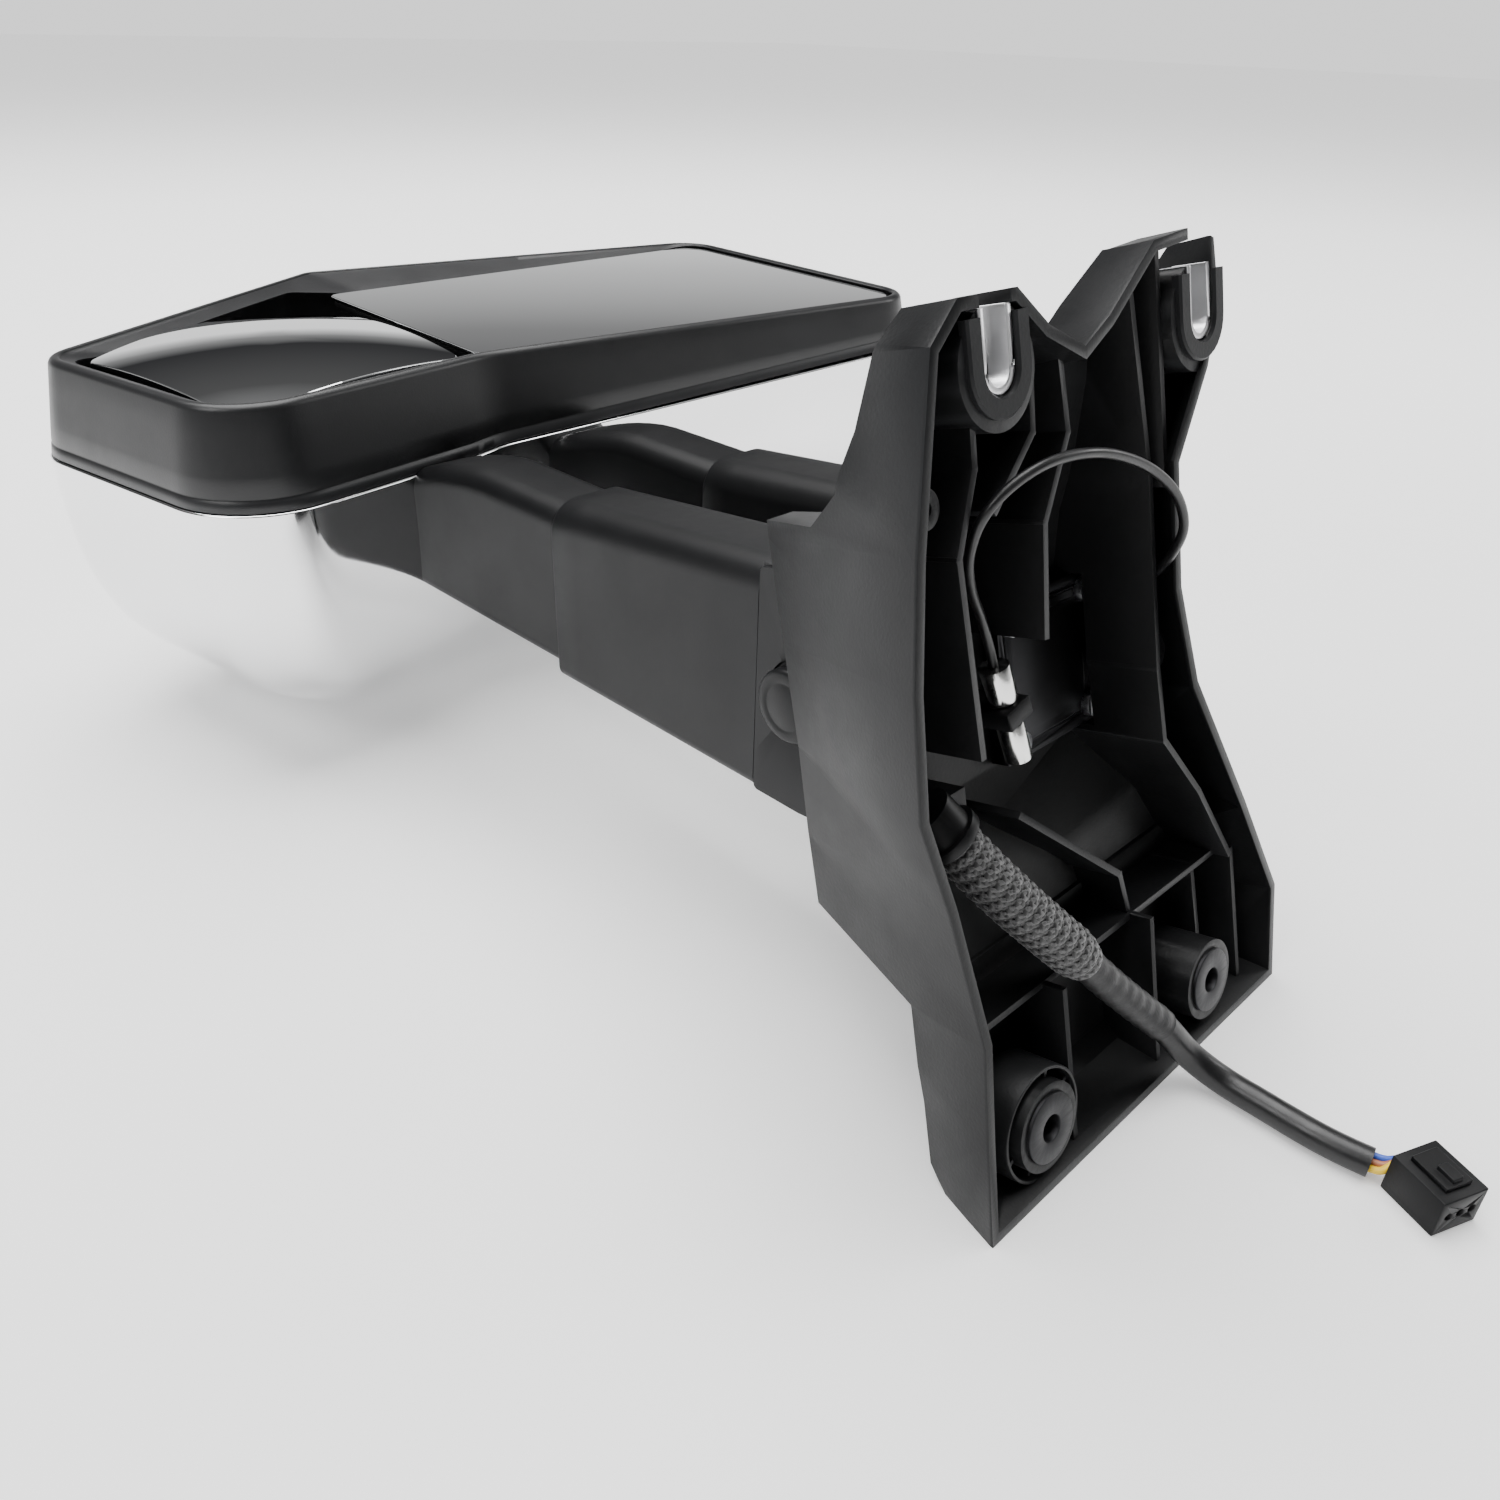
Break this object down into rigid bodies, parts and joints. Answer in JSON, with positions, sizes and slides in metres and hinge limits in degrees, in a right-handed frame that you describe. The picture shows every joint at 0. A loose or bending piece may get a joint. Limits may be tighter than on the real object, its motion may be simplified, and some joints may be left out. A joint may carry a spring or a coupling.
{
  "type": "towing mirror",
  "caption": "Left-hand towing mirror: flat and convex glasses in a plated head that slides on two arms and folds on a door base.",
  "frame": {"origin": "centre of the lower near fixing bore where it meets the door plane; the part lies on its back with the glass up", "axes": "+X runs along the head from the convex glass towards the top end, +Y points away from the door along the arms, +Z points out of the glass"},
  "size_m": [0.4477, 0.6881, 0.2495],
  "materials": {
    "satin_black_plastic": "satin black moulding with a fine leather grain",
    "matte_black_plastic": "matte black glass-filled moulding",
    "dark_plastic": "dark grey moulding",
    "chrome_plated_plastic": "bright chrome plating on plastic",
    "heater_film": "printed heater film",
    "mirror_glass": "front glass, silvered behind",
    "acetal": "natural acetal",
    "zinc_steel": "zinc plated steel",
    "cast_alloy": "die-cast alloy",
    "alloy_tube": "drawn tube",
    "braid": "woven polyester sleeve",
    "cable_skin": "soft black cable skin",
    "wire_skin": "yellow, brown and blue wires",
    "nickel": "bright nickel plating"
  },
  "bodies": {
    "base": {"base_shell": "satin_black_plastic", "pivot_bracket": "cast_alloy", "bracket_screws": "zinc_steel", "pivot_pin": "zinc_steel", "pivot_washers": "zinc_steel", "disc_springs": "zinc_steel", "pivot_nut": "zinc_steel", "slot_inserts": "zinc_steel", "fixing_bushes": "cast_alloy", "harness_gland": "matte_black_plastic", "harness_braid": "braid", "harness_wrap": "cable_skin", "harness_cable": "cable_skin", "connector_shell": "matte_black_plastic", "connector_latch": "dark_plastic", "connector_wires": "wire_skin", "antenna_lead": "cable_skin", "antenna_plug": "nickel", "antenna_socket": "nickel", "antenna_clip": "dark_plastic"},
    "arms": {"yoke": "matte_black_plastic", "cover_near": "matte_black_plastic", "cover_far": "matte_black_plastic", "tube_near": "alloy_tube", "tube_far": "alloy_tube", "tube_stops": "cast_alloy", "detent_ring": "cast_alloy"},
    "head": {"bezel": "satin_black_plastic", "chrome_cap": "chrome_plated_plastic", "head_frame": "dark_plastic", "frame_screws": "zinc_steel", "main_actuator": "dark_plastic", "actuator_lid": "matte_black_plastic", "tilt_motors": "zinc_steel", "spotter_base": "matte_black_plastic", "sleeve_near": "matte_black_plastic", "sleeve_far": "matte_black_plastic", "slide_bushes": "acetal"},
    "main_tilt": {"main_gimbal": "zinc_steel"},
    "main_mirror": {"main_backing": "dark_plastic", "main_heater": "heater_film", "main_glass": "mirror_glass"},
    "spotter_tilt": {"spotter_gimbal": "zinc_steel"},
    "spotter_mirror": {"spotter_backing": "dark_plastic", "spotter_glass": "mirror_glass"}
  },
  "joints": [
    {"name": "fold", "type": "hinge", "parent": "base", "child": "arms", "pos_m": [0, 0.114, 0.093], "axis": [1, 0, 0], "range_deg": [-60, 75]},
    {"name": "extend", "type": "slide", "parent": "arms", "child": "head", "axis": [0, 1, 0], "range_m": [0, 0.08]},
    {"name": "main_tilt_x", "type": "hinge", "parent": "head", "child": "main_tilt", "pos_m": [0.198, 0.441, 0.127], "axis": [1, 0, 0], "range_deg": [-6, 6]},
    {"name": "main_tilt_y", "type": "hinge", "parent": "main_tilt", "child": "main_mirror", "pos_m": [0.198, 0.441, 0.127], "axis": [0, 1, 0], "range_deg": [-6, 6]},
    {"name": "spotter_tilt_x", "type": "hinge", "parent": "head", "child": "spotter_tilt", "pos_m": [-0.002, 0.427, 0.125], "axis": [1, 0, 0], "range_deg": [-6, 6]},
    {"name": "spotter_tilt_y", "type": "hinge", "parent": "spotter_tilt", "child": "spotter_mirror", "pos_m": [-0.002, 0.427, 0.125], "axis": [0, 1, 0], "range_deg": [-6, 6]}
  ]
}
